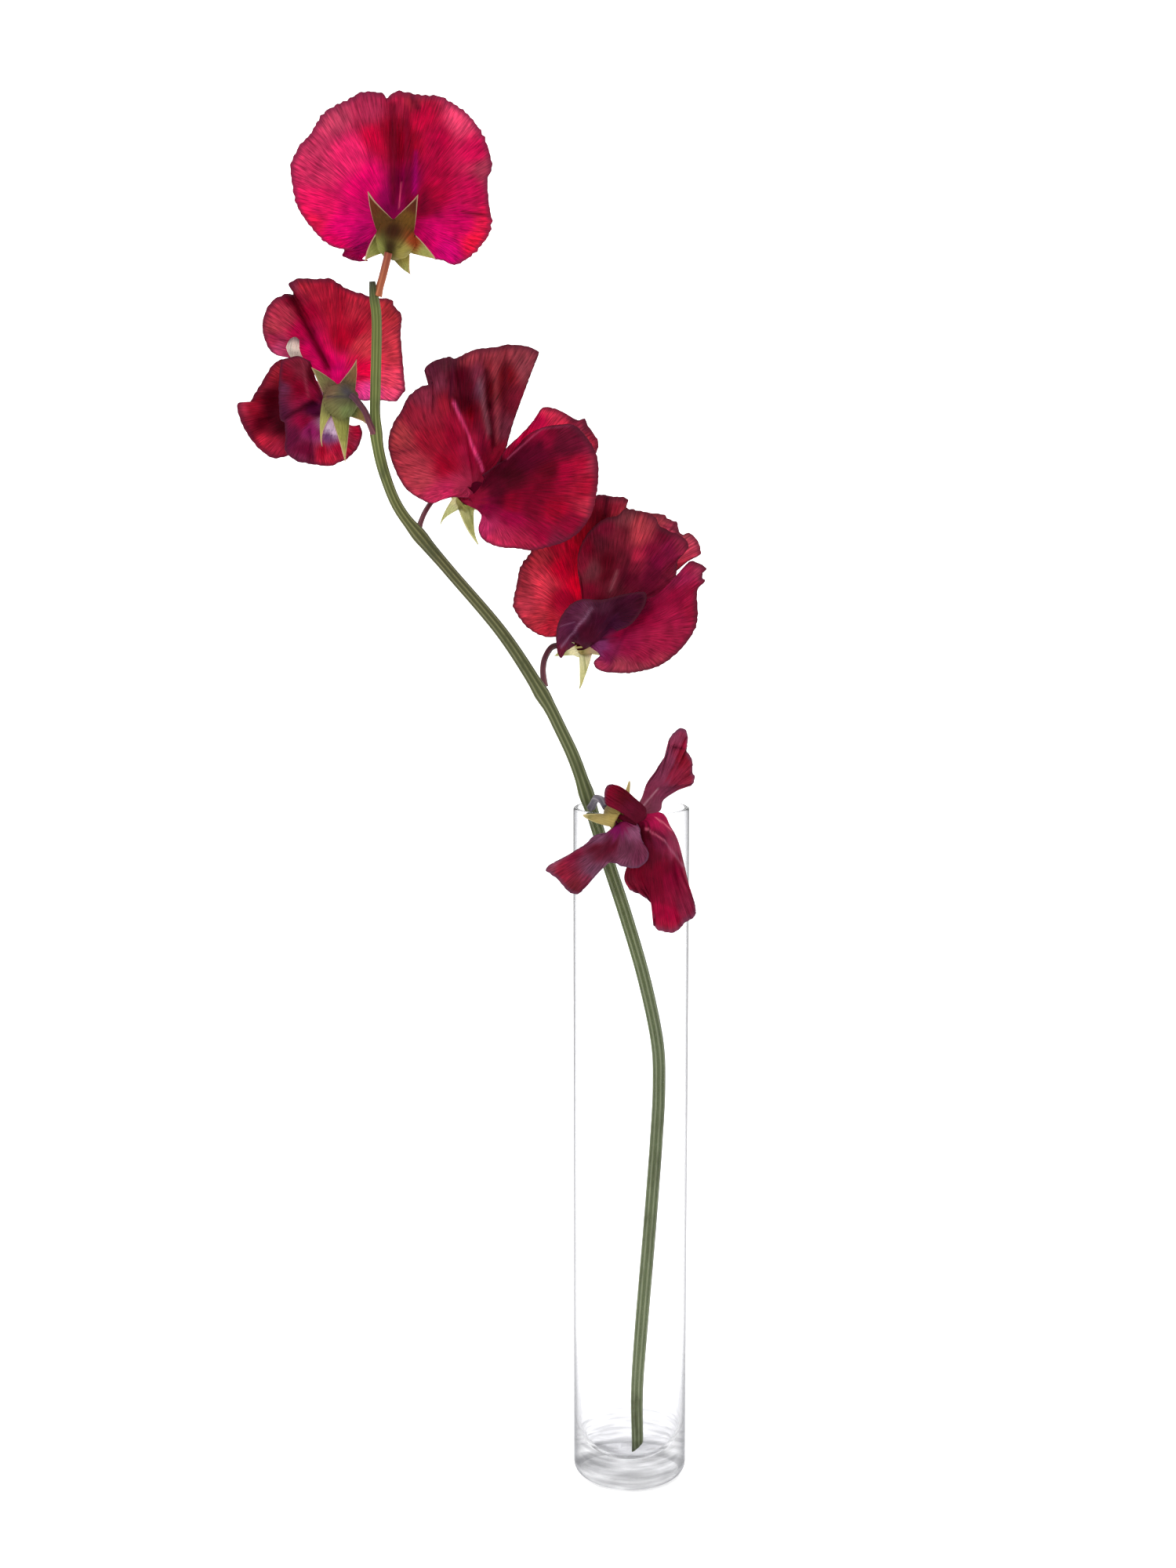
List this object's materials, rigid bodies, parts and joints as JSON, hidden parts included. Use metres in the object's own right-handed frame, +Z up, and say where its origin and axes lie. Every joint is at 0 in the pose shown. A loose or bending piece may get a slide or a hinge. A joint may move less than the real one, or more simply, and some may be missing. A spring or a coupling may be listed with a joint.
{
  "type": "sweet pea spray in a glass tube vase",
  "caption": "Cut sweet pea stem with crimson blossoms, one of them withered, standing in a slim clear glass tube vase.",
  "frame": {"origin": "centre of the vase's flat foot, on the surface that it stands on", "axes": "+Z up along the vase, +X towards the side that the withered blossom's petals reach, away from the stem's lean, +Y away from the front, where the withered blossom hangs at -Y"},
  "size_m": [0.0994, 0.0446, 0.2998],
  "materials": {
    "clear_glass": "clear, fire-polished rim",
    "stem_green": "fresh stem, matt, ridged along its length",
    "pedicel_maroon": "thin flower stalk, matt",
    "pedicel_orange": "thin flower stalk, matt",
    "pedicel_grey": "dried flower stalk, matt",
    "calyx_olive": "matt, with pale edges",
    "calyx_pale": "matt, translucent",
    "calyx_tan": "dry and papery",
    "petal_magenta": "thin petal, translucent, veined",
    "petal_crimson": "thin petal, translucent, veined",
    "petal_brick": "thin petal, translucent, veined",
    "petal_red": "thin petal, translucent, veined",
    "petal_wine": "withered petal, mauve-grey sheen"
  },
  "bodies": {
    "root": {"vase": "clear_glass", "stem": "stem_green", "f1_pedicel": "pedicel_orange", "f1_calyx": "calyx_olive", "f1_standard": "petal_magenta", "f1_wing_left": "petal_magenta", "f1_wing_right": "petal_magenta", "f1_keel": "petal_magenta", "f2_pedicel": "pedicel_maroon", "f2_calyx": "calyx_olive", "f2_standard": "petal_crimson", "f2_wing_left": "petal_crimson", "f2_wing_right": "petal_crimson", "f2_keel": "petal_crimson", "f3_pedicel": "pedicel_maroon", "f3_calyx": "calyx_pale", "f3_standard": "petal_brick", "f3_wing_left": "petal_brick", "f3_wing_right": "petal_brick", "f3_keel": "petal_brick", "f4_pedicel": "pedicel_maroon", "f4_calyx": "calyx_pale", "f4_standard": "petal_red", "f4_wing_left": "petal_red", "f4_wing_right": "petal_red", "f4_keel": "petal_red", "f5_pedicel": "pedicel_grey", "f5_calyx": "calyx_tan", "f5_standard": "petal_wine", "f5_wing_left": "petal_wine", "f5_wing_right": "petal_wine", "f5_keel": "petal_wine"}
  },
  "joints": []
}
